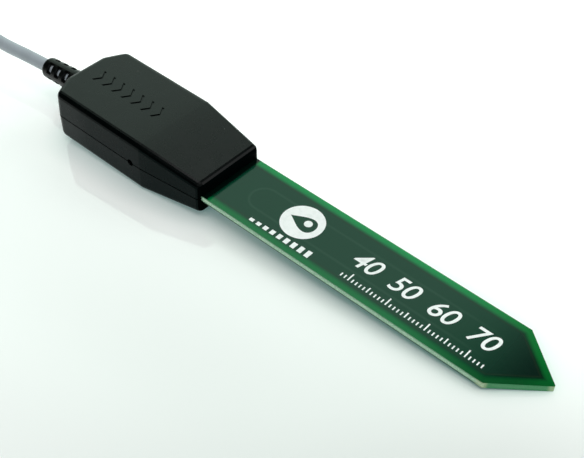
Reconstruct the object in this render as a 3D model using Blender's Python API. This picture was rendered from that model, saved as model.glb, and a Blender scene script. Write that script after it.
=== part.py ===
"""Capacitive soil moisture probe: a circuit-board blade held in a two-shell housing, with a cable.

Metres, +Z up. The probe lies as it rests on a table: the tip of the blade and the knee of the lower
shell touch z = 0, so its own axis slopes down by a few degrees towards the tip, which points to +X.
Every rigid piece is modelled along the probe's own axis, with x = 0 at the front lip of the housing,
and hangs on the empty "probe_axis", which gives the slope. The cable is laid in world coordinates.
"""
import math

import bmesh
import bpy
from mathutils import Matrix, Vector

# ---------------------------------------------------------------- driving dimensions
GAP = 0.0003

BOARD_THICKNESS = 0.0016
BLADE_WIDTH = 0.0180
BLADE_LENGTH = 0.0874
TIP_LENGTH = 0.0111
TIP_RADIUS = 0.0003
BOARD_BACK = -0.0400

HOUSING_LENGTH = 0.0500
HOUSING_WIDTH = 0.0236
HOUSING_HEIGHT = 0.0135
LIP_WIDTH = 0.0198
LIP_HEIGHT = 0.0085
KNEE_X = -0.0180
REAR_FLAT_WIDTH = 0.0122
REAR_CHAMFER = 0.0029
WALL = 0.0018
EDGE_RADIUS = 0.0014
DRAFT = 0.0002

PORT_X = -0.0212
PORT_RADIUS = 0.0009

PIN_PLACES = ((-0.0200, -0.0066), (-0.0200, 0.0066))
PIN_RADIUS = 0.0010
PIN_TOP = 0.0030
BOSS_RADIUS = 0.0021

BOOT_LENGTH = 0.0148
BOOT_ROOT_RADIUS = 0.0031
BOOT_END_RADIUS = 0.00275
BOOT_END_ROUNDING = 0.0006
BOOT_BORE = 0.0020
BOOT_NECK_RADIUS = 0.0026
BOOT_FLANGE_RADIUS = 0.0039
BOOT_FLANGE = 0.0015
BOOT_DROOP = math.radians(5.0)
WINDOW_WIDTH = 0.0017
WINDOW_PITCH = 0.00305
WINDOW_FIRST = 0.0030
WINDOW_COUNT = 4
TOP_RIB = 0.0013
SIDE_RIB = 0.0011

CABLE_DIAMETER = 0.0034
SHEATH_FRONT = -0.0438
WIRE_RADIUS = 0.00055

MARK_DEPTH = 0.00025
SLOT_START_X = -0.0175

MARK_X = -0.0440
MARK_PITCH = 0.0034
MARK_COUNT = 7

WIRE_NAMES = ("supply", "ground", "signal")
PAD_X = -0.0350
PAD_PITCH = 0.0034
PAD_RADIUS = 0.0011
STRAND_RADIUS = 0.0003

LEAD_THICKNESS = 0.0002
LEAD_PITCH = 0.00127
CHIP_PLACE = (-0.0235, 0.0)
CHIP_SIZE = (0.0049, 0.0039, 0.0014)
CHIP_SPAN = 0.0060
REGULATOR_PLACE = (-0.0295, -0.0040)
REGULATOR_SIZE = (0.0029, 0.0013, 0.0010)
SMALL_COMPONENTS = (
    ("input_capacitor", (-0.0295, 0.0042), (0.0032, 0.0016, 0.0016), "ceramic"),
    ("output_capacitor", (-0.0260, -0.0070), (0.0020, 0.0012, 0.0009), "ceramic"),
    ("bypass_capacitor", (-0.0295, 0.0), (0.0016, 0.0008, 0.0008), "ceramic"),
    ("timing_capacitor", (-0.0172, 0.0030), (0.0016, 0.0008, 0.0008), "ceramic"),
    ("timing_resistor", (-0.0172, -0.0030), (0.0016, 0.0008, 0.0005), "resistor"),
    ("drive_resistor", (-0.0172, 0.0), (0.0016, 0.0008, 0.0005), "resistor"),
    ("clamp_diode", (-0.0125, -0.0030), (0.0017, 0.0012, 0.0010), "package"),
    ("rectifier_diode", (-0.0125, 0.0030), (0.0017, 0.0012, 0.0010), "package"),
    ("hold_capacitor", (-0.0085, 0.0028), (0.0020, 0.0012, 0.0009), "ceramic"),
    ("output_resistor", (-0.0085, -0.0028), (0.0016, 0.0008, 0.0005), "resistor"),
)

# The probe rests on the knee of the lower shell and on the lower edge of the tip.
TIP_X = BLADE_LENGTH - TIP_RADIUS * (
    math.hypot(TIP_LENGTH, BLADE_WIDTH / 2) / (BLADE_WIDTH / 2) - 1
)
SLOPE = math.atan(
    (HOUSING_HEIGHT - BOARD_THICKNESS) / 2 / (TIP_X - KNEE_X)
)
REST_HEIGHT = TIP_X * math.sin(SLOPE) + BOARD_THICKNESS / 2 * math.cos(SLOPE)
BOOT_TAIL_X = -HOUSING_LENGTH - BOOT_LENGTH
CENTRE_X = (TIP_X + BOOT_TAIL_X) / 2 * math.cos(SLOPE)

# ---------------------------------------------------------------- cable put away behind the probe
HANK_FRONT_X = -0.1155
HANK_HALF_LENGTH = 0.0380
HANK_END_RADIUS = 0.0153
HANK_WAIST = 0.0072
HANK_BOTTOM = 0.0013
HANK_HEIGHT = 0.0122
HANK_X = HANK_FRONT_X - HANK_HALF_LENGTH
TIE_WIDTH = 0.0025
TIE_THICKNESS = 0.0010

CABLE_ROUTE = (
    (-0.0765, 0.0000, 0.0080),
    (-0.0857, -0.0004, 0.0079),
    (-0.0955, -0.0010, 0.0080),
    (-0.1052, -0.0011, 0.0097),
    (-0.1150, -0.0009, 0.0122),
)
TAIL_ROUTE = (
    (-0.1567, 0.0052, 0.0156),
    (-0.1647, 0.0056, 0.0156),
    (-0.1727, 0.0046, 0.0156),
    (-0.1797, 0.0030, 0.0156),
)
LEAD_LENGTH = 0.0085
TIP_WIRE_LENGTH = 0.0045
LEAD_SPREAD = 0.0021
LEAD_START = 0.0012


# ---------------------------------------------------------------- scene and materials
def clear_scene():
    for old in list(bpy.data.objects):
        bpy.data.objects.remove(old, do_unlink=True)


def collection(name):
    made = bpy.data.collections.new(name)
    bpy.context.scene.collection.children.link(made)
    return made


def material(name, colour, roughness, metallic=0.0):
    made = bpy.data.materials.new(name)
    made.use_nodes = True
    shader = made.node_tree.nodes["Principled BSDF"]
    shader.inputs["Base Color"].default_value = (*colour, 1.0)
    shader.inputs["Roughness"].default_value = roughness
    shader.inputs["Metallic"].default_value = metallic
    return made


# ---------------------------------------------------------------- building helpers
def add(name, mesh, where, paint=None, parent=None):
    made = bpy.data.objects.new(name, mesh)
    where.objects.link(made)
    made.parent = parent
    if paint:
        mesh.materials.append(paint)
    return made


def as_cutter(made):
    made.hide_render = True
    made.display_type = "WIRE"
    return made


def evaluated_mesh(made):
    """The mesh of an object with its modifiers applied, its loose caps welded."""
    bpy.context.view_layer.update()
    graph = bpy.context.evaluated_depsgraph_get()
    mesh = bpy.data.meshes.new_from_object(made.evaluated_get(graph))
    work = bmesh.new()
    work.from_mesh(mesh)
    bmesh.ops.remove_doubles(work, verts=work.verts, dist=1e-6)
    bmesh.ops.recalc_face_normals(work, faces=work.faces)
    work.to_mesh(mesh)
    work.free()
    return mesh


def plate_mesh(outline, low, high, holes=()):
    """A flat outline in XY, less its holes, filled and extruded from z = low to z = high."""
    curve = bpy.data.curves.new("outline", "CURVE")
    curve.dimensions = "2D"
    curve.fill_mode = "BOTH"
    curve.extrude = (high - low) / 2
    for loop in (outline, *holes):
        spline = curve.splines.new("POLY")
        spline.points.add(len(loop) - 1)
        for point, (x, y) in zip(spline.points, loop, strict=True):
            point.co = (x, y, 0.0, 1.0)
        spline.use_cyclic_u = True
    flat = bpy.data.objects.new("outline", curve)
    bpy.context.scene.collection.objects.link(flat)
    mesh = evaluated_mesh(flat)
    bpy.data.objects.remove(flat, do_unlink=True)
    mesh.transform(Matrix.Translation((0, 0, (low + high) / 2)))
    return mesh


def upright(mesh):
    """Turns a plate from the XY plane into the XZ plane, centred on y = 0."""
    mesh.transform(Matrix.Rotation(math.pi / 2, 4, "X"))
    return mesh


def across(mesh):
    """Turns a plate from the XY plane into the YZ plane: x goes to y, y goes to z."""
    turn = Matrix(((0, 0, 1, 0), (1, 0, 0, 0), (0, 1, 0, 0), (0, 0, 0, 1)))
    mesh.transform(turn)
    return mesh


def box_mesh(low, high, bevel=0.0):
    work = bmesh.new()
    bmesh.ops.create_cube(work, size=1.0)
    for vertex in work.verts:
        for k in range(3):
            vertex.co[k] = low[k] if vertex.co[k] < 0 else high[k]
    if bevel:
        bmesh.ops.bevel(
            work, geom=work.edges[:], offset=bevel, segments=2, profile=0.5, affect="EDGES"
        )
    mesh = bpy.data.meshes.new("box")
    work.to_mesh(mesh)
    work.free()
    return mesh


def cylinder_mesh(start, end, radius, segments=32, end_radius=None):
    start, end = Vector(start), Vector(end)
    work = bmesh.new()
    bmesh.ops.create_cone(
        work,
        cap_ends=True,
        segments=segments,
        radius1=radius,
        radius2=radius if end_radius is None else end_radius,
        depth=(end - start).length,
    )
    turn = Vector((0, 0, 1)).rotation_difference(end - start).to_matrix().to_4x4()
    bmesh.ops.transform(work, matrix=Matrix.Translation((start + end) / 2) @ turn, verts=work.verts)
    mesh = bpy.data.meshes.new("cylinder")
    work.to_mesh(mesh)
    work.free()
    return mesh


def boolean(made, other, operation="DIFFERENCE"):
    step = made.modifiers.new(operation.lower(), "BOOLEAN")
    step.operation = operation
    step.solver = "EXACT"
    step.object = other


def smooth(mesh, angle=35):
    mesh.shade_smooth()
    mesh.set_sharp_from_angle(angle=math.radians(angle))


def through(points, step):
    """Points along a smooth curve through the given ones, about `step` apart."""
    nodes = [Vector(p) for p in points]
    nodes = [2 * nodes[0] - nodes[1], *nodes, 2 * nodes[-1] - nodes[-2]]
    found = []
    for a, b, c, d in zip(nodes, nodes[1:], nodes[2:], nodes[3:]):
        count = max(1, round((c - b).length / step))
        for k in range(count):
            t = k / count
            found.append(
                0.5
                * (
                    2 * b
                    + (c - a) * t
                    + (2 * a - 5 * b + 4 * c - d) * t * t
                    + (3 * b - a - 3 * c + d) * t**3
                )
            )
    return found + [nodes[-2]]


def tube(name, points, radius, where, paint, parent=None):
    curve = bpy.data.curves.new(name, "CURVE")
    curve.dimensions = "3D"
    curve.bevel_depth = radius
    curve.bevel_resolution = 2
    curve.use_fill_caps = True
    spline = curve.splines.new("POLY")
    spline.points.add(len(points) - 1)
    for point, place in zip(spline.points, points, strict=True):
        point.co = (*place, 1.0)
    made = bpy.data.objects.new(name, curve)
    where.objects.link(made)
    made.parent = parent
    curve.materials.append(paint)
    return made


# ---------------------------------------------------------------- outlines
def plan_outline(inset):
    """The housing from above, narrowing from the knee to the lip, with chamfered rear corners."""
    wide = HOUSING_WIDTH / 2 - inset
    lip = LIP_WIDTH / 2 - inset
    flat = REAR_FLAT_WIDTH / 2 - inset / 4
    back = -HOUSING_LENGTH + inset
    corner = -HOUSING_LENGTH + REAR_CHAMFER + inset / 2
    side = [(-inset, lip), (KNEE_X, wide), (corner, wide), (back, flat)]
    return side + [(x, -y) for x, y in reversed(side)]


def profile_outline(inset):
    """The housing from the side, flat to the knee and falling from there to the lip."""
    tall = HOUSING_HEIGHT / 2 - inset
    lip = LIP_HEIGHT / 2 - inset
    past = 0.002
    front = lip - (tall - lip) / (-inset - KNEE_X) * (past + inset)
    side = [(past, front), (KNEE_X, tall), (-HOUSING_LENGTH - past, tall)]
    return side + [(x, -z) for x, z in reversed(side)]


def circle_outline(place, radius, steps):
    x, y = place
    turns = [2 * math.pi * k / steps for k in range(steps)]
    return [(x + radius * math.cos(turn), y + radius * math.sin(turn)) for turn in turns]


def board_outline():
    half = BLADE_WIDTH / 2
    shoulder = BLADE_LENGTH - TIP_LENGTH
    spread = math.atan2(TIP_LENGTH, half)
    arc_x = TIP_X - TIP_RADIUS
    steps = 6
    tip = []
    for k in range(steps + 1):
        turn = spread * (2 * k / steps - 1)
        tip.append((arc_x + TIP_RADIUS * math.cos(turn), TIP_RADIUS * math.sin(turn)))
    return [(BOARD_BACK, half), (BOARD_BACK, -half), (shoulder, -half), *tip, (shoulder, half)]


def hank_outline():
    """A hank pinched at the waist by its tie, with a round loop at each end."""
    straight = HANK_HALF_LENGTH - HANK_END_RADIUS
    quarter = []
    for k in range(7):
        rise = (1 - math.cos(math.pi * k / 6)) / 2
        quarter.append((straight * k / 6, HANK_WAIST + (HANK_END_RADIUS - HANK_WAIST) * rise))
    for k in range(1, 9):
        turn = math.pi / 2 * k / 8
        quarter.append(
            (straight + HANK_END_RADIUS * math.sin(turn), HANK_END_RADIUS * math.cos(turn))
        )
    right = quarter + [(x, -y) for x, y in reversed(quarter[:-1])]
    left = [(-x, y) for x, y in reversed(right[1:-1])]
    return [(HANK_X + x, y) for x, y in right + left]


def rounded_rectangle(half_y, low_z, high_z, radius, steps=4):
    found = []
    corners = ((half_y, high_z, 0), (-half_y, high_z, 1), (-half_y, low_z, 2), (half_y, low_z, 3))
    for y, z, quarter in corners:
        middle_y = y - math.copysign(radius, y)
        middle_z = z - radius if z == high_z else z + radius
        for k in range(steps + 1):
            turn = math.pi / 2 * (quarter + k / steps)
            found.append((middle_y + radius * math.cos(turn), middle_z + radius * math.sin(turn)))
    return found


# ---------------------------------------------------------------- housing shells
def housing_block(inset, low, high):
    """The housing's outer solid, or with an inset its inside, between two heights."""
    tall = HOUSING_HEIGHT / 2
    plan = plate_mesh(plan_outline(inset), low, high)
    for vertex in plan.vertices:
        if abs(vertex.co.z) > tall:
            if vertex.co.x < KNEE_X - WALL:
                vertex.co.x += DRAFT
            vertex.co.y -= math.copysign(DRAFT, vertex.co.y)
    profile = upright(plate_mesh(profile_outline(inset), -HOUSING_WIDTH, HOUSING_WIDTH))
    body = add("body", plan, bpy.context.scene.collection)
    cutter = add("profile", profile, bpy.context.scene.collection)
    boolean(body, cutter, "INTERSECT")
    mesh = evaluated_mesh(body)
    for made in (body, cutter):
        bpy.data.objects.remove(made, do_unlink=True)
    return mesh


def round_edges(mesh, start):
    """Rounds every sharp edge of a shell block except those of its parting face."""
    work = bmesh.new()
    work.from_mesh(mesh)
    bmesh.ops.dissolve_limit(
        work, angle_limit=math.radians(0.5), verts=work.verts[:], edges=work.edges[:]
    )
    sharp = [
        edge
        for edge in work.edges
        if edge.calc_face_angle(0) > math.radians(20)
        and max(abs(vertex.co.z) for vertex in edge.verts) > start + 1e-5
    ]
    bmesh.ops.bevel(
        work,
        geom=sharp,
        offset=EDGE_RADIUS,
        offset_type="OFFSET",
        segments=4,
        profile=0.5,
        affect="EDGES",
        clamp_overlap=True,
    )
    bmesh.ops.recalc_face_normals(work, faces=work.faces)
    work.to_mesh(mesh)
    work.free()


def chevron_outline(x):
    """One pointing mark of the row on the upper shell, its point towards the tip."""
    reach, half, stroke = 0.0014, 0.0021, 0.0007
    return [
        (x, half),
        (x + reach, 0.0),
        (x, -half),
        (x - stroke, -half),
        (x + reach - stroke, 0.0),
        (x - stroke, half),
    ]


def shell(name, side, parts, cutters, paint, axis):
    """One half of the housing: side 1 is the upper shell, side -1 the lower one."""
    start = GAP / 2
    past = HOUSING_HEIGHT / 2 + 0.001
    outer = housing_block(0.0, *sorted((side * start, side * past)))
    round_edges(outer, start)
    smooth(outer)
    made = add(name, outer, parts, paint, axis)

    def cut(label, mesh, operation="DIFFERENCE"):
        cutter = as_cutter(add(f"{name}_{label}", mesh, cutters, None, axis))
        boolean(made, cutter, operation)

    cut("cavity", housing_block(WALL, *sorted((-side * GAP, side * past))))
    ceiling = side * (HOUSING_HEIGHT / 2 - WALL / 2)
    landing = side * (BOARD_THICKNESS / 2 + GAP)
    for k, (x, y) in enumerate(PIN_PLACES):
        cut(f"boss_{k}", cylinder_mesh((x, y, landing), (x, y, ceiling), BOSS_RADIUS, 24), "UNION")
        if side < 0:
            pin = cylinder_mesh((x, y, landing - PIN_RADIUS), (x, y, PIN_TOP), PIN_RADIUS, 16)
            cut(f"pin_{k}", pin, "UNION")
        else:
            socket = cylinder_mesh((x, y, 0), (x, y, PIN_TOP + GAP), PIN_RADIUS + GAP, 16)
            cut(f"socket_{k}", socket)
    half = BLADE_WIDTH / 2 + GAP
    deep = BOARD_THICKNESS / 2 + GAP
    cut("board_slot", box_mesh((SLOT_START_X, -half, -deep), (WALL, half, deep)))
    outside = -HOUSING_WIDTH / 2 - WALL
    inside = -HOUSING_WIDTH / 2 + WALL + GAP
    cut("port", cylinder_mesh((PORT_X, outside, 0), (PORT_X, inside, 0), PORT_RADIUS, 20))
    neck = cylinder_mesh(
        (-HOUSING_LENGTH - WALL, 0, 0), (-HOUSING_LENGTH + 2 * WALL, 0, 0), BOOT_NECK_RADIUS + GAP
    )
    cut("neck", neck)
    if side > 0:
        top = HOUSING_HEIGHT / 2
        for k in range(MARK_COUNT):
            outline = chevron_outline(MARK_X + MARK_PITCH * k)
            cut(f"mark_{k}", plate_mesh(outline, top - MARK_DEPTH, top + MARK_DEPTH))
    return made


# ---------------------------------------------------------------- strain relief and sheath
def drooped(mesh):
    """Turns a mesh onto the strain relief's axis, which droops from the rear wall's middle."""
    pivot = Matrix.Translation((-HOUSING_LENGTH + WALL / 2, 0, 0))
    mesh.transform(pivot @ Matrix.Rotation(-BOOT_DROOP, 4, "Y") @ pivot.inverted())
    return mesh


def turned_mesh(profile, segments=32):
    """A solid turned about the X axis from a list of (x, radius)."""
    work = bmesh.new()
    rings = []
    for x, radius in profile:
        ring = []
        for k in range(segments):
            turn = 2 * math.pi * k / segments
            ring.append(work.verts.new((x, radius * math.cos(turn), radius * math.sin(turn))))
        rings.append(ring)
    for near, far in zip(rings, rings[1:], strict=False):
        for k in range(segments):
            after = (k + 1) % segments
            work.faces.new((near[k], near[after], far[after], far[k]))
    work.faces.new(rings[0])
    work.faces.new(rings[-1])
    bmesh.ops.recalc_face_normals(work, faces=work.faces)
    mesh = bpy.data.meshes.new("turned")
    work.to_mesh(mesh)
    work.free()
    return mesh


def windows_mesh(x):
    """The four windows round the relief at one place, between its upper, lower and side ribs."""
    work = bmesh.new()
    reach = 2 * BOOT_ROOT_RADIUS
    for side_y in (-1, 1):
        for side_z in (-1, 1):
            made = bmesh.ops.create_cube(work, size=1.0)
            for vertex in made["verts"]:
                vertex.co.x = x + math.copysign(WINDOW_WIDTH / 2, vertex.co.x)
                vertex.co.y = side_y * (reach if vertex.co.y > 0 else TOP_RIB / 2)
                vertex.co.z = side_z * (reach if vertex.co.z > 0 else SIDE_RIB / 2)
    bmesh.ops.recalc_face_normals(work, faces=work.faces)
    mesh = bpy.data.meshes.new("windows")
    work.to_mesh(mesh)
    work.free()
    return mesh


def strain_relief(parts, cutters, paint, axis):
    """A turned, tapering sleeve with windows down its length, held by a flange inside the wall."""
    root = -HOUSING_LENGTH - GAP
    wall_inside = -HOUSING_LENGTH + WALL + GAP
    rounding = [
        (
            BOOT_TAIL_X + BOOT_END_ROUNDING * (1 - math.cos(turn)),
            BOOT_END_RADIUS - BOOT_END_ROUNDING * (1 - math.sin(turn)),
        )
        for turn in (0.0, math.pi / 6, math.pi / 3, math.pi / 2)
    ]
    body = turned_mesh([*rounding, (root, BOOT_ROOT_RADIUS)])
    made = add("strain_relief", drooped(body), parts, paint, axis)
    pieces = (
        ("neck", root - WALL / 2, wall_inside + BOOT_FLANGE / 2, BOOT_NECK_RADIUS, "UNION"),
        ("flange", wall_inside, wall_inside + BOOT_FLANGE, BOOT_FLANGE_RADIUS, "UNION"),
        ("bore", BOOT_TAIL_X - WALL, wall_inside + 2 * BOOT_FLANGE, BOOT_BORE, "DIFFERENCE"),
    )
    for label, low, high, radius, operation in pieces:
        mesh = cylinder_mesh((low, 0, 0), (high, 0, 0), radius, 28)
        if label == "bore":
            drooped(mesh)
        cutter = as_cutter(add(f"boot_{label}", mesh, cutters, None, axis))
        boolean(made, cutter, operation)
    for k in range(WINDOW_COUNT):
        mesh = drooped(windows_mesh(BOOT_TAIL_X + WINDOW_FIRST + WINDOW_PITCH * k))
        boolean(made, as_cutter(add(f"boot_windows_{k}", mesh, cutters, None, axis)))
    return made


def sheath_end(parts, paint, axis):
    """The stretch of cable sheath inside the strain relief and the housing."""
    mesh = cylinder_mesh((BOOT_TAIL_X, 0, 0), (SHEATH_FRONT, 0, 0), CABLE_DIAMETER / 2, 24)
    smooth(mesh)
    return add("cable_sheath_end", drooped(mesh), parts, paint, axis)


# ---------------------------------------------------------------- board and its components
def board(parts, paint, axis):
    """The circuit board, one flat plate from inside the housing to the blade's tip."""
    holes = [circle_outline(place, PIN_RADIUS + GAP, 16) for place in PIN_PLACES]
    mesh = plate_mesh(board_outline(), -BOARD_THICKNESS / 2, BOARD_THICKNESS / 2, holes)
    return add("sensor_board", mesh, parts, paint, axis)


def chip_box(x, y, size, lift=0.0):
    """The corners of a component of the given size that stands on the board at x, y."""
    long, wide, tall = size
    base = BOARD_THICKNESS / 2 + GAP + lift
    return (x - long / 2, y - wide / 2, base), (x + long / 2, y + wide / 2, base + tall)


def packaged_chip(name, place, size, leads, parts, cutters, paint, axis):
    """A moulded package with flat leads: each lead is (x offset, low y offset, high y offset)."""
    x, y = place
    low, high = chip_box(x, y, size, LEAD_THICKNESS / 2)
    made = add(name, box_mesh(low, high, 0.0001), parts, paint, axis)
    foot = BOARD_THICKNESS / 2 + GAP
    for k, (along, low_y, high_y) in enumerate(leads):
        corner = (x + along - LEAD_THICKNESS, y + low_y, foot)
        far = (x + along + LEAD_THICKNESS, y + high_y, foot + LEAD_THICKNESS)
        lead = as_cutter(add(f"{name}_lead_{k}", box_mesh(corner, far), cutters, None, axis))
        boolean(made, lead, "UNION")
    return made


def components(parts, cutters, paints, axis):
    """Everything that stands on the board inside the housing, and the boxes it takes up."""
    taken = []
    for name, (x, y), size, paint in SMALL_COMPONENTS:
        low, high = chip_box(x, y, size)
        add(name, box_mesh(low, high, min(size) / 8), parts, paints[paint], axis)
        taken.append((low, high))
    chip_leads = [(LEAD_PITCH * (k - 1.5), -CHIP_SPAN / 2, CHIP_SPAN / 2) for k in range(4)]
    regulator_leads = [(-0.00095, -0.0013, 0), (0.00095, -0.0013, 0), (0, 0, 0.0013)]
    chips = (
        ("oscillator_chip", CHIP_PLACE, CHIP_SIZE, chip_leads, CHIP_SPAN),
        ("voltage_regulator", REGULATOR_PLACE, REGULATOR_SIZE, regulator_leads, 0.0026),
    )
    for name, place, size, leads, span in chips:
        packaged_chip(name, place, size, leads, parts, cutters, paints["package"], axis)
        taken.append(chip_box(*place, (size[0], span, size[2] + LEAD_THICKNESS)))
    return taken


def wiring(parts, paints, axis):
    """Three insulated wires from the sheath to their pads, and the solder on each pad."""
    foot = BOARD_THICKNESS / 2 + GAP
    for k, name in enumerate(WIRE_NAMES):
        side = k - 1
        pad_y = side * PAD_PITCH
        points = [
            (SHEATH_FRONT + GAP, side * 0.0011, 0.0004),
            (SHEATH_FRONT + 0.0014, side * 0.0015, 0.0010),
            (SHEATH_FRONT + 0.0030, side * 0.0024, foot + WIRE_RADIUS + 0.0003),
            (PAD_X - 0.0016, pad_y, foot + WIRE_RADIUS),
        ]
        tube(f"{name}_wire", through(points, 0.0012), WIRE_RADIUS, parts, paints[name], axis)
        dome = bmesh.new()
        bmesh.ops.create_uvsphere(dome, u_segments=16, v_segments=10, radius=PAD_RADIUS)
        below = [v for v in dome.verts if v.co.z < -1e-6]
        bmesh.ops.delete(dome, geom=below, context="VERTS")
        rim = [e for e in dome.edges if e.is_boundary]
        bmesh.ops.contextual_create(dome, geom=rim)
        bmesh.ops.recalc_face_normals(dome, faces=dome.faces)
        bmesh.ops.translate(dome, verts=dome.verts, vec=(PAD_X, pad_y, foot))
        mesh = bpy.data.meshes.new("dome")
        dome.to_mesh(mesh)
        dome.free()
        smooth(mesh)
        add(f"{name}_solder_joint", mesh, parts, paints["solder"], axis)


def resin(taken, parts, cutters, paint, axis):
    """The sealing resin that fills the housing round the board, the components and the wires."""
    past = HOUSING_HEIGHT / 2 + 0.001
    made = add("sealing_resin", housing_block(WALL + GAP, -past, past), parts, paint, axis)
    half = BLADE_WIDTH / 2 + GAP
    deep = BOARD_THICKNESS / 2 + GAP
    wire_top = deep + GAP + 2 * WIRE_RADIUS + 0.0008
    spaces = [
        box_mesh((BOARD_BACK - GAP, -half, -deep), (WALL, half, deep)),
        box_mesh((SHEATH_FRONT, -0.0052, -0.0006), (PAD_X + 0.0014, 0.0052, wire_top)),
    ]
    for low, high in taken:
        corner = (low[0] - GAP, low[1] - GAP, 0.0)
        spaces.append(box_mesh(corner, tuple(value + GAP for value in high)))
    for x, y in PIN_PLACES:
        spaces.append(cylinder_mesh((x, y, -past), (x, y, past), BOSS_RADIUS + GAP, 24))
    rear = -HOUSING_LENGTH
    flange_end = rear + WALL + 2 * GAP + BOOT_FLANGE
    flange = cylinder_mesh((rear, 0, 0), (flange_end, 0, 0), BOOT_FLANGE_RADIUS + GAP, 28)
    sheath_radius = CABLE_DIAMETER / 2 + GAP
    sheath = cylinder_mesh((rear, 0, 0), (SHEATH_FRONT + GAP, 0, 0), sheath_radius, 28)
    spaces += [flange, drooped(sheath)]
    for k, mesh in enumerate(spaces):
        boolean(made, as_cutter(add(f"resin_space_{k}", mesh, cutters, None, axis)))
    return made


# ---------------------------------------------------------------- cable, hank and flying leads
def cable(parts, cutters, paints):
    spacing = 2.4 * CABLE_DIAMETER
    radius = CABLE_DIAMETER / 2
    tube("free_cable", through(CABLE_ROUTE, spacing), radius, parts, paints["sheath"])
    tube("cable_tail", through(TAIL_ROUTE, spacing), radius, parts, paints["sheath"])
    hank = plate_mesh(hank_outline(), HANK_BOTTOM, HANK_BOTTOM + HANK_HEIGHT)
    add("cable_hank", hank, parts, paints["sheath"])

    inner_half = HANK_WAIST + 1.2 * GAP
    inner_low, inner_high = HANK_BOTTOM - GAP, HANK_BOTTOM + HANK_HEIGHT + GAP
    outer_half = inner_half + TIE_THICKNESS
    outer_low, outer_high = inner_low - TIE_THICKNESS, inner_high + TIE_THICKNESS
    loops = []
    for half, low, high, radius, width in (
        (outer_half, outer_low, outer_high, 0.0022, TIE_WIDTH),
        (inner_half, inner_low, inner_high, 0.0004, 2 * TIE_WIDTH),
    ):
        outline = rounded_rectangle(half, low, high, radius)
        loop = across(plate_mesh(outline, -width / 2, width / 2))
        loop.transform(Matrix.Translation((HANK_X, 0, 0)))
        loops.append(loop)
    tie = add("hank_tie", loops[0], parts, paints["tie"])
    middle = (inner_low + inner_high) / 2
    lock = box_mesh(
        (HANK_X - TIE_WIDTH, -outer_half - 0.0020, middle - 0.0020),
        (HANK_X + TIE_WIDTH, -inner_half - 0.0002, middle + 0.0020),
        0.0004,
    )
    boolean(tie, as_cutter(add("tie_lock", lock, cutters)), "UNION")
    boolean(tie, as_cutter(add("tie_inside", loops[1], cutters)))

    end = Vector(TAIL_ROUTE[-1])
    onward = (end - Vector(TAIL_ROUTE[-2])).normalized()
    sideways = Vector((-onward.y, onward.x, 0.0)).normalized()
    for k, name in enumerate(WIRE_NAMES):
        side = k - 1
        root = end + 2 * GAP * onward + side * LEAD_START * sideways
        middle = root + LEAD_LENGTH / 2 * onward + side * LEAD_SPREAD / 3 * sideways
        tip = root + LEAD_LENGTH * onward + side * LEAD_SPREAD * sideways
        lead = through([root, middle, tip], 0.0016)
        tube(f"{name}_lead", lead, WIRE_RADIUS, parts, paints[name])
        along = (lead[-1] - lead[-2]).normalized()
        start = tip + along * GAP
        wire = cylinder_mesh(start, start + along * TIP_WIRE_LENGTH, STRAND_RADIUS, 12)
        smooth(wire)
        add(f"{name}_tinned_end", wire, parts, paints["solder"])


# ---------------------------------------------------------------- assembly
def main():
    clear_scene()
    parts = collection("soil_moisture_probe")
    cutters = collection("cutters")
    paints = {
        "shell": material("shell_plastic", (0.030, 0.034, 0.032), 0.45),
        "board": material("solder_mask", (0.018, 0.085, 0.050), 0.22),
        "boot": material("strain_relief_plastic", (0.012, 0.013, 0.013), 0.40),
        "sheath": material("grey_sheath", (0.30, 0.34, 0.37), 0.50),
        "supply": material("red_insulation", (0.45, 0.02, 0.02), 0.45),
        "ground": material("black_insulation", (0.015, 0.015, 0.015), 0.45),
        "signal": material("yellow_insulation", (0.60, 0.42, 0.03), 0.45),
        "solder": material("solder", (0.62, 0.62, 0.60), 0.30, 1.0),
        "package": material("chip_package", (0.020, 0.020, 0.021), 0.55),
        "ceramic": material("capacitor_ceramic", (0.30, 0.20, 0.11), 0.45),
        "resistor": material("resistor_glaze", (0.015, 0.016, 0.020), 0.35),
        "resin": material("sealing_resin", (0.014, 0.014, 0.015), 0.30),
        "tie": material("tie_nylon", (0.013, 0.013, 0.013), 0.45),
    }
    axis = bpy.data.objects.new("probe_axis", None)
    bpy.context.scene.collection.objects.link(axis)
    axis.location = (-CENTRE_X, 0.0, REST_HEIGHT)
    axis.rotation_euler = (0.0, SLOPE, 0.0)

    shell("upper_shell", 1, parts, cutters, paints["shell"], axis)
    shell("lower_shell", -1, parts, cutters, paints["shell"], axis)
    board(parts, paints["board"], axis)
    strain_relief(parts, cutters, paints["boot"], axis)
    sheath_end(parts, paints["sheath"], axis)
    taken = components(parts, cutters, paints, axis)
    wiring(parts, paints, axis)
    resin(taken, parts, cutters, paints["resin"], axis)
    cable(parts, cutters, paints)


main()
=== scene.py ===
"""Looks of the soil moisture probe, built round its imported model."""
import math

import bmesh
import bpy
from mathutils import Matrix, Vector


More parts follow.
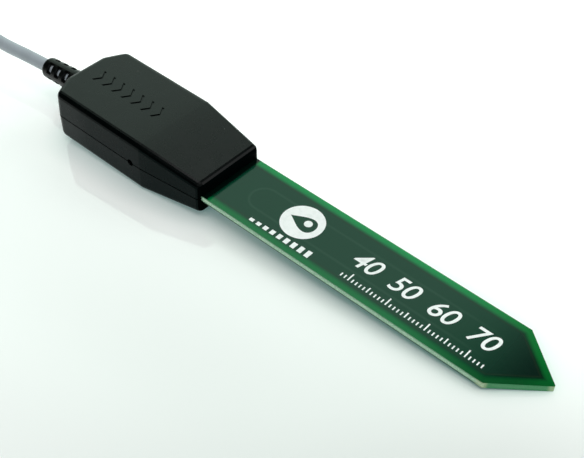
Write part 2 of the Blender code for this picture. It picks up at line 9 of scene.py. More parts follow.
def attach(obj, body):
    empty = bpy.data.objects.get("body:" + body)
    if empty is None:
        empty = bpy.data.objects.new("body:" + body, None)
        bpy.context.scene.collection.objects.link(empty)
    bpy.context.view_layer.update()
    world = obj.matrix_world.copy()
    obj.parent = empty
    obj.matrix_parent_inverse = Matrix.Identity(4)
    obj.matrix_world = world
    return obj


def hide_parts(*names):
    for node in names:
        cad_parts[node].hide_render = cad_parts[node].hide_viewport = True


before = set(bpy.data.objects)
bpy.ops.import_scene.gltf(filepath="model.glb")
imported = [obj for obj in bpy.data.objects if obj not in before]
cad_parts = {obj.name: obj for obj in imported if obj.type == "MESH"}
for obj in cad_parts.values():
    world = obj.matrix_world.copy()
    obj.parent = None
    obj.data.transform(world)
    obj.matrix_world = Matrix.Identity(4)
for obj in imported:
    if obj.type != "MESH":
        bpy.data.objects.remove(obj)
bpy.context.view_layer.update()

# ---------------------------------------------------------------- camera
CAMERA_AT = Vector((0.12472, -0.13008, 0.16742))
CAMERA_RIGHT = Vector((0.75105, 0.66013, -0.01207))
CAMERA_UP = Vector((-0.44745, 0.52234, 0.72591))
CAMERA_FORWARD = Vector((-0.48550, 0.53980, -0.68768))
FIELD_OF_VIEW = math.radians(30.58)

camera_data = bpy.data.cameras.new("camera")
camera_data.sensor_fit = "HORIZONTAL"
camera_data.angle = FIELD_OF_VIEW
camera_data.clip_start = 0.005
camera_data.clip_end = 20.0
camera = bpy.data.objects.new("camera", camera_data)
bpy.context.scene.collection.objects.link(camera)
turn = Matrix((CAMERA_RIGHT, CAMERA_UP, -CAMERA_FORWARD)).transposed()
camera.matrix_world = Matrix.Translation(CAMERA_AT) @ turn.to_4x4()
bpy.context.scene.camera = camera

# ---------------------------------------------------------------- cable
# Metres. The hank is a figure of eight, wound down to the floor and back up round its own outside.
CABLE_DIAMETER = 0.0034
HANK_X = -0.1535
HANK_STRAIGHT = 0.0227
TURN_PITCH = 0.00345
INNER_WAIST = 0.00175
INNER_END = 0.01015
FLOOR_LEVEL = 0.0030
TIE_LIFT = 0.0013
SHIFT_TURNS = 2.25
DOWN_TURNS = 2.5
ALL_TURNS = 5.0
TIE_NEAR, TIE_FAR = 0.002, 0.013
CABLE_EXIT = (-0.0760, 0.0, 0.0080)
CABLE_RUN = (
    CABLE_EXIT,
    (-0.0800, -0.0001, 0.0079),
    (-0.0857, -0.0004, 0.0079),
    (-0.0907, -0.0008, 0.0079),
    (-0.0955, -0.0010, 0.0080),
    (-0.1007, -0.0011, 0.0086),
    (-0.1052, -0.0011, 0.0097),
    (-0.1102, -0.0010, 0.0112),
    (-0.1150, -0.0009, 0.0124),
    (-0.1197, -0.0006, 0.0130),
    (-0.1267, -0.0001, 0.0129),
    (-0.1347, 0.0006, 0.0124),
    (-0.1427, 0.0013, 0.0119),
)
CABLE_END = (
    (-0.1587, 0.0057, 0.0130),
    (-0.1637, 0.0056, 0.0143),
    (-0.1687, 0.0050, 0.0142),
    (-0.1742, 0.0040, 0.0134),
    (-0.1797, 0.0030, 0.0126),
)


def smoothstep(low, high, value):
    t = min(max((value - low) / (high - low), 0.0), 1.0)
    return t * t * (3 - 2 * t)


def hank_point(turns):
    """A point of the wound cable, by the number of turns from the waist's +Y side."""
    column = smoothstep(SHIFT_TURNS, DOWN_TURNS, turns)
    waist = INNER_WAIST + TURN_PITCH * column
    end = INNER_END + TURN_PITCH * column
    level = FLOOR_LEVEL + TURN_PITCH * abs(turns - DOWN_TURNS)
    quarter = math.hypot(HANK_STRAIGHT, end - waist)
    half_loop = math.pi / 2 * end
    lap = (turns % 0.5) * 2
    side = 1 if turns % 1.0 < 0.5 else -1
    along = lap * 2 * (quarter + half_loop)
    if along < quarter:
        u = along / quarter
        x = -HANK_STRAIGHT * u
        y = waist + (end - waist) * (1 - math.cos(math.pi * u)) / 2
    elif along < quarter + 2 * half_loop:
        angle = (along - quarter) / end
        x = -HANK_STRAIGHT - end * math.sin(angle)
        y = end * math.cos(angle)
    else:
        u = 1 - (along - quarter - 2 * half_loop) / quarter
        x = -HANK_STRAIGHT * u
        y = -(waist + (end - waist) * (1 - math.cos(math.pi * u)) / 2)
    near_tie = 1 - smoothstep(TIE_NEAR, TIE_FAR, abs(x))
    return Vector((HANK_X + side * x, side * y, level - TIE_LIFT * (1 - near_tie)))


def catmull_rom(points, step):
    """Evenly enough spaced points of a smooth curve through the given ones."""
    ends = [2 * points[0] - points[1], *points, 2 * points[-1] - points[-2]]
    found = []
    for a, b, c, d in zip(ends, ends[1:], ends[2:], ends[3:], strict=False):
        count = max(1, round((c - b).length / step))
        for k in range(count):
            t = k / count
            found.append(
                0.5
                * (
                    2 * b
                    + (c - a) * t
                    + (2 * a - 5 * b + 4 * c - d) * t * t
                    + (3 * b - a - 3 * c + d) * t * t * t
                )
            )
    found.append(points[-1].copy())
    return found


# A curve's box grows by its points' radius, so the tube's radius is kept on its points.
TUBE_DEPTH = 1.0


def tube(name, points, radius, resolution=6):
    curve = bpy.data.curves.new(name, "CURVE")
    curve.dimensions = "3D"
    curve.bevel_depth = TUBE_DEPTH
    curve.bevel_resolution = resolution
    curve.use_fill_caps = True
    spline = curve.splines.new("POLY")
    spline.points.add(len(points) - 1)
    for target, point in zip(spline.points, points, strict=True):
        target.co = (*point, 1.0)
        target.radius = radius / TUBE_DEPTH
    made = bpy.data.objects.new(name, curve)
    bpy.context.scene.collection.objects.link(made)
    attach(made, "root")
    return made


TURN_STEPS = 48
CABLE_STEP = 0.0012
route = [Vector(point) for point in CABLE_RUN]
route += [hank_point(k / TURN_STEPS) for k in range(1, round(ALL_TURNS * TURN_STEPS))]
route += [Vector(point) for point in CABLE_END]
cable = tube("signal_cable", catmull_rom(route, CABLE_STEP), CABLE_DIAMETER / 2)
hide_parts("free_cable", "cable_hank", "cable_tail")

LEADS = (("supply", -1), ("ground", 0), ("signal", 1))
LEAD_RADIUS = 0.00055
BARE_RADIUS = 0.0003
BARE_INSIDE, BARE_OUTSIDE = 0.0003, 0.0042
LEAD_STEP = 0.0005
LEAD_RESOLUTION = 4
cord_pieces = ["hank_tie"]
for lead_name, lead_side in LEADS:
    start = Vector(CABLE_END[-1])
    points = [
        start + Vector((0.0006, 0.0009 * lead_side, 0.0)),
        start + Vector((-0.0020, 0.0010 * lead_side - 0.0004, -0.0003)),
        start + Vector((-0.0050, 0.0017 * lead_side - 0.0009, -0.0005)),
        start + Vector((-0.0085, 0.0028 * lead_side - 0.0014, -0.0007)),
    ]
    lead_route = catmull_rom(points, LEAD_STEP)
    lead = tube(f"{lead_name}_flying_lead", lead_route, LEAD_RADIUS, LEAD_RESOLUTION)
    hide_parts(f"{lead_name}_lead")
    onward = (points[-1] - points[-2]).normalized()
    bare = [points[-1] - BARE_INSIDE * onward, points[-1] + BARE_OUTSIDE * onward]
    bare_route = catmull_rom(bare, LEAD_STEP)
    tinned = tube(f"{lead_name}_bare_end", bare_route, BARE_RADIUS, LEAD_RESOLUTION)
    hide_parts(f"{lead_name}_tinned_end")
    cord_pieces += [lead, tinned]

# ---------------------------------------------------------------- node helpers
# The middle of the lip is CENTRE_X behind the origin and REST_HEIGHT up, and the probe slopes down
# from there to its tip.
SLOPE = math.radians(3.236413)
CENTRE_X = 0.011194
REST_HEIGHT = 0.005723
MILLIMETRES = (1000.0, 1000.0, 1000.0)
# A surface is a side where the upward part of its direction is less than this, and flat elsewhere.
SIDE_LIMIT = 0.6


class Net:
    """One material's nodes as short expressions, which take a socket or a number anywhere."""

    def __init__(self, name):
        self.material = bpy.data.materials.new(name)
        self.material.use_nodes = True
        self.tree = self.material.node_tree
        self.shader = self.tree.nodes["Principled BSDF"]

    def node(self, kind, **settings):
        made = self.tree.nodes.new(kind)
        for key, value in settings.items():
            setattr(made, key, value)
        return made

    def plug(self, socket, value):
        if isinstance(value, bpy.types.NodeSocket):
            self.tree.links.new(value, socket)
        else:
            socket.default_value = value

    def set(self, **values):
        for key, value in values.items():
            self.plug(self.shader.inputs[key.replace("_", " ")], value)

    def math(self, operation, *values):
        made = self.node("ShaderNodeMath", operation=operation)
        for socket, value in zip(made.inputs, values, strict=False):
            self.plug(socket, value)
        return made.outputs[0]

    def plus(self, a, b):
        return self.math("ADD", a, b)

    def minus(self, a, b):
        return self.math("SUBTRACT", a, b)

    def times(self, a, b):
        return self.math("MULTIPLY", a, b)

    def magnitude(self, a):
        return self.math("ABSOLUTE", a)

    def ramp(self, value, low, high, start=0.0, end=1.0):
        """A soft step from start to end as the value goes from low to high."""
        made = self.node("ShaderNodeMapRange", interpolation_type="SMOOTHSTEP")
        for socket, number in zip(made.inputs, (value, low, high, start, end), strict=False):
            self.plug(socket, number)
        return made.outputs[0]

    def mix(self, factor, a, b):
        made = self.node("ShaderNodeMix", data_type="RGBA")
        self.plug(made.inputs["Factor"], factor)
        for key, value in (("A", a), ("B", b)):
            socket = next(i for i in made.inputs if i.name == key and i.type == "RGBA")
            self.plug(socket, value if isinstance(value, bpy.types.NodeSocket) else (*value, 1.0))
        return next(o for o in made.outputs if o.type == "RGBA")

    def place(self):
        return self.node("ShaderNodeTexCoord").outputs["Object"]

    def probe_place(self, scale=MILLIMETRES):
        """Millimetres along, across and through the probe, measured from the middle of its lip."""
        shift = self.node("ShaderNodeVectorMath", operation="SUBTRACT")
        self.plug(shift.inputs[0], self.place())
        self.plug(shift.inputs[1], (-CENTRE_X, 0.0, REST_HEIGHT))
        turned = self.node("ShaderNodeVectorRotate", rotation_type="Y_AXIS")
        self.plug(turned.inputs["Vector"], shift.outputs[0])
        turned.inputs["Angle"].default_value = -SLOPE
        sized = self.node("ShaderNodeVectorMath", operation="MULTIPLY")
        self.plug(sized.inputs[0], turned.outputs[0])
        self.plug(sized.inputs[1], scale)
        return sized.outputs[0]

    def split(self, vector):
        made = self.node("ShaderNodeSeparateXYZ")
        self.plug(made.inputs[0], vector)
        return made.outputs

    def facing(self):
        """The three parts of the surface's own direction, in the world's axes."""
        return self.split(self.node("ShaderNodeNewGeometry").outputs["Normal"])

    def noise(self, vector, scale, detail=3.0, roughness=0.5):
        made = self.node("ShaderNodeTexNoise")
        self.plug(made.inputs["Vector"], vector)
        made.inputs["Scale"].default_value = scale
        made.inputs["Detail"].default_value = detail
        made.inputs["Roughness"].default_value = roughness
        return made.outputs["Fac"]

    def cells(self, vector, scale):
        made = self.node("ShaderNodeTexVoronoi", feature="F1")
        self.plug(made.inputs["Vector"], vector)
        made.inputs["Scale"].default_value = scale
        return made.outputs["Distance"]

    def bump(self, height, distance, strength=1.0):
        made = self.node("ShaderNodeBump")
        self.plug(made.inputs["Height"], height)
        made.inputs["Distance"].default_value = distance
        made.inputs["Strength"].default_value = strength
        self.plug(self.shader.inputs["Normal"], made.outputs[0])


def moulded(name, colour, roughness, grain=0.000012, cell=9000.0, tint=0.25, metallic=0.0):
    """Plastic, rubber, glaze or metal: slightly mottled colour, a fine grain and uneven gloss."""
    net = Net(name)
    place = net.place()
    mottle = net.ramp(net.noise(place, 180.0, 4.0), 0.3, 0.7)
    darker = tuple(c * (1 - tint) for c in colour)
    net.set(Base_Color=net.mix(mottle, darker, colour), Metallic=metallic)
    gloss = net.ramp(net.noise(place, 420.0, 3.0), 0.25, 0.75, roughness * 0.9, roughness * 1.12)
    net.set(Roughness=gloss)
    net.bump(net.noise(place, cell, 2.0), grain, 0.6)
    return net.material


def paint(material, *names):
    for name in names:
        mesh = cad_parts[name].data
        mesh.materials.clear()
        mesh.materials.append(material)


# ---------------------------------------------------------------- housing
# The knee and its softness are in millimetres along the probe from its lip. A fall is how steeply
# the front half drops towards the lip, on the top and on the sides.
KNEE = -18.0
KNEE_SOFTNESS = 5.0
TOP_FALL, SIDE_FALL = 0.139, 0.106
HALF_MILLIMETRE_IN_METRES = 0.0005
# Metres.
GRAIN_HEIGHT = 0.000004
# Indices of refraction.
TOP_REFLECTION, SIDE_REFLECTION = 1.45, 1.158
TOP_DARK, TOP_LIGHT = (0.0002, 0.0009, 0.0009), (0.0006, 0.0019, 0.0018)
SHADED_SIDE_COLOUR, SIDE_SHEEN_COLOUR = (0.0002, 0.0010, 0.0010), (0.0002, 0.0048, 0.0046)
DUST_COLOUR, DUST_COVER = (0.20, 0.22, 0.20), 0.25


def knee_rounding(net, upward, along):
    """How far a soft bend lies below two flats that meet at the knee, as a height in metres."""
    past_knee = net.minus(along, KNEE)
    square = net.plus(net.times(past_knee, past_knee), KNEE_SOFTNESS**2)
    corner = net.minus(net.math("SQRT", square), net.magnitude(past_knee))
    fall = net.ramp(net.magnitude(upward), 0.3, 0.8, SIDE_FALL, TOP_FALL)
    return net.times(net.times(corner, fall), -HALF_MILLIMETRE_IN_METRES)


def side_dulling(net, forward, along):
    """What the sides lose in reflection where they face the blade, and gain towards the rear."""
    dulling = net.plus(
        net.ramp(forward, 0.04, 0.16, 0.0, 0.06),
        net.ramp(forward, 0.30, 0.70, 0.0, 0.07),
    )
    dulling = net.plus(dulling, net.ramp(forward, -0.2, -0.6, 0.0, -0.04))
    return net.minus(dulling, net.ramp(along, -34.0, -43.0, 0.0, 0.045))


def housing_material():
    """Black moulded plastic: a fine grain, a few specks of dust, and a knee that is a soft bend.
    The sides carry painted shade and a painted sheen.
    """
    net = Net("shell_plastic")
    place = net.place()
    along = net.split(net.probe_place())[0]
    forward, _, upward = net.facing()
    on_side = net.math("LESS_THAN", upward, SIDE_LIMIT)

    mottle = net.ramp(net.noise(place, 120.0, 5.0, 0.6), 0.3, 0.7)
    body = net.mix(mottle, TOP_DARK, TOP_LIGHT)
    # Painted shade and painted reflection: sides facing forward are painted darker than the top,
    # and the other sides and the underside a lighter greenish sheen.
    body = net.mix(on_side, body, SHADED_SIDE_COLOUR)
    sheen_share = net.times(net.ramp(upward, 0.35, 0.10), net.ramp(forward, 0.5, 0.2))
    body = net.mix(sheen_share, body, SIDE_SHEEN_COLOUR)
    specks = net.math("LESS_THAN", net.cells(place, 260.0), 0.035)
    dust = net.times(specks, net.math("GREATER_THAN", upward, SIDE_LIMIT))
    net.set(Base_Color=net.mix(net.times(dust, DUST_COVER), body, DUST_COLOUR))

    net.set(Roughness=net.ramp(net.noise(place, 300.0, 3.0), 0.25, 0.75, 0.25, 0.31))
    reflection = net.ramp(upward, 0.93, 0.99, SIDE_REFLECTION, TOP_REFLECTION)
    dulling = net.times(on_side, side_dulling(net, forward, along))
    net.set(IOR=net.minus(reflection, dulling))

    grain = net.times(net.noise(place, 5200.0, 2.0), GRAIN_HEIGHT)
    net.bump(net.plus(knee_rounding(net, upward, along), grain), 1.0)
    return net.material


paint(housing_material(), "upper_shell", "lower_shell")
RUBBER_REFLECTION = 1.33
boot_rubber = moulded("strain_relief_rubber", (0.0012, 0.0018, 0.0016), 0.30)
rubber_shader = boot_rubber.node_tree.nodes["Principled BSDF"]
rubber_shader.inputs["IOR"].default_value = RUBBER_REFLECTION
paint(boot_rubber, "strain_relief")


# ---------------------------------------------------------------- board
# Millimetres along, across and through the probe, from the middle of its lip.
BLADE_HALF = 9.0
BLADE_TIP = 87.4
SHOULDER = 76.6
TIP_NORMAL = (0.6298, 0.7768)
COPPER_START, COPPER_FULL = 0.80, 2.20
SEAM_HALF = 0.3
PLATE_START = 10.7
PLATE_HALF = 3.55
# The copper's step and the mask's waves are shares of the bump's height, which is in metres.
MASK_STEP, MASK_WAVE = 0.6, 0.15
MASK_HEIGHT = 0.00003
BORDER_WEAVE = (0.001, 0.110, 0.026)
GAP_COLOUR = (0.050, 0.120, 0.080)
SEAM_COLOUR = (0.016, 0.030, 0.012)
PAINTED_LIP_SHADOW = (0.0002, 0.0030, 0.0020)
LAMINATE_DARK, LAMINATE_LIGHT = (0.25, 0.53, 0.33), (0.63, 0.86, 0.65)
LOW_EDGE_SHADE = (0.030, 0.085, 0.048)
MASK_EDGE_COLOUR = (0.030, 0.190, 0.080)
TIP_EDGE_COLOUR = (0.018, 0.250, 0.075)
SNAPPED_COLOUR = (0.50, 0.60, 0.36)
STREAK_SCALE = (1800.0, 1800.0, 2600.0)


def border_colour(net, where, x, y):
    """The bare border, with painted light: lighter on the far side and towards the root."""
    near_root = net.ramp(x, 84.0, 52.0)
    weave = net.ramp(net.noise(where, 2.2, 3.0), 0.35, 0.65)
    far_side = net.mix(near_root, (0.0005, 0.132, 0.020), (0.0008, 0.225, 0.056))
    near_side = net.mix(near_root, (0.0005, 0.054, 0.011), (0.0008, 0.132, 0.034))
    border = net.mix(net.ramp(y, -6.0, 6.0), near_side, far_side)
    return net.mix(net.times(weave, 0.12), border, BORDER_WEAVE)


def plates_colour(net, x, wide):
    """Mask over copper, with the faint gap between the inner and the outer plate."""
    # Painted sheen: the mask over the plates is painted lighter towards the root, where it reflects
    # the bright sky, and darker towards the tip.
    inner = net.mix(net.ramp(x, 84.5, 67.5), (0.0006, 0.0105, 0.0062), (0.0018, 0.0385, 0.0190))
    before_plate = net.math("MAXIMUM", net.minus(PLATE_START, x), 0.0)
    square = net.plus(net.math("POWER", before_plate, 2.0), net.math("POWER", wide, 2.0))
    off_gap = net.magnitude(net.minus(net.math("SQRT", square), PLATE_HALF))
    gap = net.times(net.ramp(off_gap, 0.55, 0.05), net.ramp(x, 76.0, 60.0, 0.0, 0.13))
    return net.mix(gap, inner, GAP_COLOUR)


def cut_edge_colour(net, x, z):
    """Pale routed laminate with a thin band of mask along its top, painted shade along its lower
    part, and two rough snapped places.
    """
    fibres = net.ramp(net.noise(net.probe_place(STREAK_SCALE), 2.0, 4.0, 0.7), 0.3, 0.7)
    cut = net.mix(fibres, LAMINATE_DARK, LAMINATE_LIGHT)
    # Painted shade along the lower part of the edge, towards the floor.
    cut = net.mix(net.ramp(z, -0.32, -0.68), cut, LOW_EDGE_SHADE)
    cut = net.mix(net.times(net.ramp(z, 0.30, 0.72), 0.75), cut, MASK_EDGE_COLOUR)
    at_tip = net.math("GREATER_THAN", x, SHOULDER)
    cut = net.mix(net.times(at_tip, 0.9), cut, TIP_EDGE_COLOUR)
    at_shoulder = net.times(net.ramp(x, 74.2, 75.4), net.ramp(x, 77.3, 76.7))
    snapped = net.math("MAXIMUM", at_shoulder, net.ramp(x, 86.0, 86.9))
    return net.mix(net.times(snapped, 0.6), cut, SNAPPED_COLOUR)


def board_material():
    """Green solder mask over two copper plates, a bare border round them, and pale routed edges."""
    net = Net("solder_mask")
    where = net.probe_place()
    x, y, z = net.split(where)
    wide = net.magnitude(y)
    from_side = net.minus(BLADE_HALF, wide)
    along_tip = net.times(net.minus(BLADE_TIP, x), TIP_NORMAL[0])
    from_tip = net.minus(along_tip, net.times(wide, TIP_NORMAL[1]))
    inward = net.math("MINIMUM", from_side, from_tip)
    wobble = net.times(net.minus(net.noise(where, 0.35, 2.0), 0.5), 0.12)
    copper = net.ramp(net.plus(inward, wobble), COPPER_START, COPPER_FULL)

    mask = net.mix(copper, border_colour(net, where, x, y), plates_colour(net, x, wide))
    off_seam = net.magnitude(net.minus(inward, COPPER_FULL))
    mask = net.mix(net.times(net.ramp(off_seam, SEAM_HALF, 0.0), 0.35), mask, SEAM_COLOUR)
    # Painted shadow of the lip: the mask is painted near black up to 0.9 mm from the lip and fades
    # back by 1.7 mm, standing in for the lip's shadow and dark reflection.
    mask = net.mix(net.ramp(x, 0.9, 1.7), PAINTED_LIP_SHADOW, mask)

    flat = net.math("GREATER_THAN", net.magnitude(net.facing()[2]), SIDE_LIMIT)
    net.set(Base_Color=net.mix(flat, cut_edge_colour(net, x, z), mask), IOR=1.45)
    gloss = net.ramp(net.noise(where, 0.9, 3.0), 0.3, 0.7, 0.08, 0.11)
    edge_roughness = net.times(net.minus(1.0, flat), 0.4)
    net.set(Roughness=net.plus(gloss, edge_roughness))
    wave = net.times(net.noise(where, 1.6, 2.0), MASK_WAVE)
    net.bump(net.plus(net.times(copper, MASK_STEP), wave), MASK_HEIGHT, 0.5)
    return net.material


paint(board_material(), "sensor_board")


# ---------------------------------------------------------------- printed marks
# Metres, in the blade's own plane: along from the lip, and across to the far side.
PRINT_BOTTOM = 0.0008
PRINT_THICKNESS = 0.000018
to_world = Matrix.Translation((-CENTRE_X, 0.0, REST_HEIGHT)) @ Matrix.Rotation(SLOPE, 4, "Y")


def print_mesh(name, curves, material):
    """One printed piece from flat curves, each given in the blade's own plane."""
    work = bmesh.new()
    for curve, matrix in curves:
        made = bpy.data.objects.new(name, curve)
        bpy.context.scene.collection.objects.link(made)
        bpy.context.view_layer.update()
        graph = bpy.context.evaluated_depsgraph_get()
        flat = bpy.data.meshes.new_from_object(made.evaluated_get(graph))
        flat.transform(to_world @ matrix)
        work.from_mesh(flat)
        bpy.data.objects.remove(made)
    mesh = bpy.data.meshes.new(name)
    work.to_mesh(mesh)
    work.free()
    mesh.materials.append(material)
    made = bpy.data.objects.new(name, mesh)
    bpy.context.scene.collection.objects.link(made)
    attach(made, "root")


def raised(x, y):
    return Matrix.Translation((x, y, PRINT_BOTTOM + PRINT_THICKNESS / 2))


def closed_curve(*outlines):
    curve = bpy.data.curves.new("mark", "CURVE")
    curve.dimensions = "2D"
    curve.fill_mode = "BOTH"
    curve.extrude = PRINT_THICKNESS / 2
    for outline in outlines:
        spline = curve.splines.new("POLY")
        spline.points.add(len(outline) - 1)
        for point, (x, y) in zip(spline.points, outline, strict=True):
            point.co = (x, y, 0.0, 1.0)
        spline.use_cyclic_u = True
    return curve


NUMBER_SIZE = 0.0066
NUMBER_SLANT = 0.25
NUMBER_BOLDNESS = 0.008


def number_curve(text, size):
    curve = bpy.data.curves.new("number", "FONT")
    curve.body = text
    curve.size = size
    curve.align_x = "CENTER"
    curve.align_y = "CENTER"
    curve.shear = NUMBER_SLANT
    curve.offset = size * NUMBER_BOLDNESS
    curve.extrude = PRINT_THICKNESS / 2
    return curve


def ink_material():
    net = Net("white_ink")
    place = net.place()
    worn = net.ramp(net.noise(place, 900.0, 4.0), 0.25, 0.6)
    net.set(Base_Color=net.mix(worn, (0.75, 0.81, 0.78), (0.83, 0.88, 0.86)))
    net.set(Roughness=net.ramp(net.noise(place, 500.0), 0.3, 0.7, 0.38, 0.5))
    net.bump(net.noise(place, 4000.0), 0.000006, 0.5)
    return net.material


def circle(radius, steps=64):
    return [
        (radius * math.cos(2 * math.pi * k / steps), radius * math.sin(2 * math.pi * k / steps))
        for k in range(steps)
    ]


DROP_WIDTH = 0.92
DROP_PINCH = 1.6


def drop(size, steps=48):
    """A water drop, its point towards the housing."""
    found = []
    for k in range(steps):
        turn = 2 * math.pi * k / steps
        pinch = math.sin(turn / 2) ** DROP_PINCH
        found.append((-size * math.cos(turn), size * DROP_WIDTH * math.sin(turn) * pinch))
    return found


DISC_PLACE = (0.0218, 0.0004)
DISC_RADIUS = 0.0052
DROP_SIZE = 0.0036
GLINT_RADIUS = 0.0010
GLINT_SHIFT = (0.0013, 0.0004)
NUMBER_SIDE = 0.0001
ink = ink_material()
glint = [(x + GLINT_SHIFT[0], y + GLINT_SHIFT[1]) for x, y in circle(GLINT_RADIUS, 32)]
disc = closed_curve(circle(DISC_RADIUS), drop(DROP_SIZE), glint)
print_mesh("drop_symbol", [(disc, raised(*DISC_PLACE))], ink)
numbers = [
    (number_curve(str(10 * k), NUMBER_SIZE), raised(0.010 * k, NUMBER_SIDE)) for k in (4, 5, 6, 7)
]
print_mesh("depth_numbers", numbers, ink)


def tick(x, y, length, width):
    """A bar's outline, from the middle of its lower end."""
    return [
        (x - width / 2, y),
        (x + width / 2, y),
        (x + width / 2, y + length),
        (x - width / 2, y + length),
    ]


SCALE_START, SCALE_END = 0.038, 0.0745
SCALE_STEP = 0.001
SCALE_SIDE = -0.0062
TICK_WIDTH = 0.00032
TEN_TICK, FIVE_TICK, ONE_TICK = 0.0022, 0.0016, 0.0010
scale_ticks = []
for k in range(round((SCALE_END - SCALE_START) / SCALE_STEP) + 1):
    x = SCALE_START + SCALE_STEP * k
    millimetres = round(x * 1000)
    if millimetres % 10 == 0:
        length = TEN_TICK
    elif millimetres % 5 == 0:
        length = FIVE_TICK
    else:
        length = ONE_TICK
    scale_ticks.append(tick(x, SCALE_SIDE, length, TICK_WIDTH))
print_mesh("depth_scale", [(closed_curve(*scale_ticks), raised(0.0, 0.0))], ink)

BAR_COUNT = 9
BAR_START, BAR_PITCH = 0.0130, 0.0020
BAR_SIDE = -0.0072
BAR_WIDTH = 0.00115
FIRST_BAR, BAR_GROWTH = 0.0009, 0.00014
level_bars = [
    tick(BAR_START + BAR_PITCH * k, BAR_SIDE, FIRST_BAR + BAR_GROWTH * k, BAR_WIDTH)
    for k in range(BAR_COUNT)
]
print_mesh("level_bars", [(closed_curve(*level_bars), raised(0.0, 0.0))], ink)

# ---------------------------------------------------------------- cable, wires and hidden pieces
sheath = moulded(
    "cable_sheath", (0.37, 0.42, 0.455), 0.42, grain=0.00001, cell=2500.0, tint=0.10
)
cable.data.materials.append(sheath)
paint(sheath, "cable_sheath_end")
tinned_metal = moulded(
    "tinned_copper", (0.62, 0.62, 0.60), 0.30, grain=0.000015, cell=6000.0, tint=0.15, metallic=1.0
)
insulation = {
    "supply": moulded("supply_insulation", (0.45, 0.02, 0.02), 0.42),
    "ground": moulded("ground_insulation", (0.015, 0.015, 0.015), 0.42),
    "signal": moulded("signal_insulation", (0.60, 0.42, 0.03), 0.42),
}
for lead_name, _ in LEADS:
    lead = bpy.data.objects[f"{lead_name}_flying_lead"]
    lead.data.materials.append(insulation[lead_name])
    bpy.data.objects[f"{lead_name}_bare_end"].data.materials.append(tinned_metal)
    paint(insulation[lead_name], f"{lead_name}_wire", f"{lead_name}_lead")
    paint(tinned_metal, f"{lead_name}_solder_joint", f"{lead_name}_tinned_end")
paint(sheath, "free_cable", "cable_hank", "cable_tail")
paint(moulded("tie_nylon", (0.013, 0.013, 0.013), 0.45), "hank_tie")
resin = moulded("sealing_resin", (0.014, 0.014, 0.015), 0.28, grain=0.00002, cell=700.0)
paint(resin, "sealing_resin")
package = moulded("chip_package", (0.020, 0.020, 0.021), 0.55, grain=0.00001, cell=12000.0)
paint(package, "oscillator_chip", "voltage_regulator", "clamp_diode", "rectifier_diode")
ceramic = moulded("capacitor_ceramic", (0.30, 0.20, 0.11), 0.40, grain=0.000008)
paint(ceramic, "input_capacitor", "output_capacitor", "bypass_capacitor")
paint(ceramic, "timing_capacitor", "hold_capacitor")
glaze = moulded("resistor_glaze", (0.015, 0.016, 0.020), 0.30, grain=0.000008)
paint(glaze, "timing_resistor", "drive_resistor", "output_resistor")

# ---------------------------------------------------------------- floor and light
FLOOR_SIZE = 6.0
FLOOR_ROUGHNESS = 0.03
FLOOR_REFLECTION = 1.90
RIGHTWARD = (0.75, 0.66)
BACK_GLOW_LIMIT = 0.43
SHADE_REACH = 0.007
SHADE_SAMPLES = 16
GLOW_COLOUR, SHADE_COLOUR = (0.96, 1.0, 0.98), (0.02, 0.40, 0.38)
LEFT_COLOUR, RIGHT_COLOUR = (0.79, 0.83, 0.805), (0.68, 0.715, 0.69)


def floor_material():
    """Glossy white, glowing towards the back and the left so that it fades to pure white there. Its
    colour is painted darker towards the right as painted shade, and close to the object the glow
    turns to a cyan painted shade.
    """
    net = Net("floor")
    net.set(Roughness=FLOOR_ROUGHNESS, IOR=FLOOR_REFLECTION)
    x, y, _ = net.split(net.place())
    rightward = net.plus(net.times(x, RIGHTWARD[0]), net.times(y, RIGHTWARD[1]))
    back_glow = net.math("MINIMUM", net.ramp(y, -0.053, 0.133, 0.0, 1.25), BACK_GLOW_LIMIT)
    left_glow = net.ramp(rightward, 0.025, -0.115, 0.0, 0.27)
    glow = net.plus(back_glow, left_glow)
    open_sky = net.node("ShaderNodeAmbientOcclusion", samples=SHADE_SAMPLES)
    open_sky.inputs["Distance"].default_value = SHADE_REACH
    shaded = net.minus(1.0, net.math("POWER", open_sky.outputs["AO"], 2.0))
    shaded = net.times(shaded, net.math("DIVIDE", back_glow, glow))
    net.set(Emission_Color=net.mix(shaded, GLOW_COLOUR, SHADE_COLOUR), Emission_Strength=glow)
    # Painted shade: the floor's own colour is darker towards the right.
    net.set(Base_Color=net.mix(net.ramp(rightward, 0.0, 0.055), LEFT_COLOUR, RIGHT_COLOUR))
    return net.material


floor_mesh = bpy.data.meshes.new("floor")
floor_mesh.from_pydata(
    [(x * FLOOR_SIZE, y * FLOOR_SIZE, 0.0) for x, y in ((-1, -1), (1, -1), (1, 1), (-1, 1))],
    [],
    [(0, 1, 2, 3)],
)
floor_mesh.materials.append(floor_material())
floor = bpy.data.objects.new("floor", floor_mesh)
bpy.context.scene.collection.objects.link(floor)

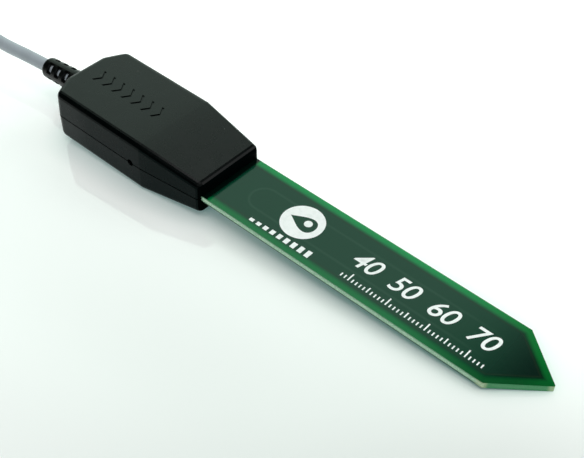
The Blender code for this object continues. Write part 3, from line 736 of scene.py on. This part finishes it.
# The sky is dark but for one wide bright patch, whose edge is soft between two cosines.
SKY_BRIGHT_AT = Vector((-0.60, 0.68, 0.42))
SKY_EDGE = (0.826, 0.888)
SKY_DARK = (0.030, 0.036, 0.033)
SKY_BRIGHT = (0.68, 0.88, 0.77)
world = bpy.data.worlds.new("studio")
bpy.context.scene.world = world
world.use_nodes = True
sky = world.node_tree
direction = sky.nodes.new("ShaderNodeTexCoord").outputs["Generated"]
towards_patch = sky.nodes.new("ShaderNodeVectorMath")
towards_patch.operation = "DOT_PRODUCT"
sky.links.new(direction, towards_patch.inputs[0])
towards_patch.inputs[1].default_value = SKY_BRIGHT_AT.normalized()
fade = sky.nodes.new("ShaderNodeMapRange")
fade.interpolation_type = "SMOOTHSTEP"
sky.links.new(towards_patch.outputs["Value"], fade.inputs["Value"])
fade.inputs["From Min"].default_value, fade.inputs["From Max"].default_value = SKY_EDGE
blend = sky.nodes.new("ShaderNodeMix")
blend.data_type = "RGBA"
sky.links.new(fade.outputs["Result"], blend.inputs["Factor"])
blend_inputs = {socket.identifier: socket for socket in blend.inputs}
blend_inputs["A_Color"].default_value = (*SKY_DARK, 1.0)
blend_inputs["B_Color"].default_value = (*SKY_BRIGHT, 1.0)
blended = next(socket for socket in blend.outputs if socket.type == "RGBA")
sky.links.new(blended, sky.nodes["Background"].inputs["Color"])

AIM = Vector((0.0, 0.0, 0.005))


def softbox(name, direction, distance, width, height, radiance):
    """A rectangular light of the given radiance, aimed at the object."""
    data = bpy.data.lights.new(name, "AREA")
    data.shape = "RECTANGLE"
    data.size = width
    data.size_y = height
    data.energy = radiance * math.pi * width * height
    made = bpy.data.objects.new(name, data)
    bpy.context.scene.collection.objects.link(made)
    towards = Vector(direction).normalized()
    made.location = AIM + distance * towards
    made.rotation_euler = towards.to_track_quat("Z", "Y").to_euler()


softbox("overhead", (0.20, 0.0, 1.0), distance=1.5, width=1.6, height=1.5, radiance=2.2)
softbox("right", (0.65, 0.70, 0.55), distance=0.8, width=0.60, height=0.50, radiance=3.6)
softbox("front", (0.30, -0.85, 0.62), distance=1.4, width=1.5, height=0.8, radiance=1.4)
bpy.context.scene.view_settings.view_transform = "Standard"

bpy.context.view_layer.update()
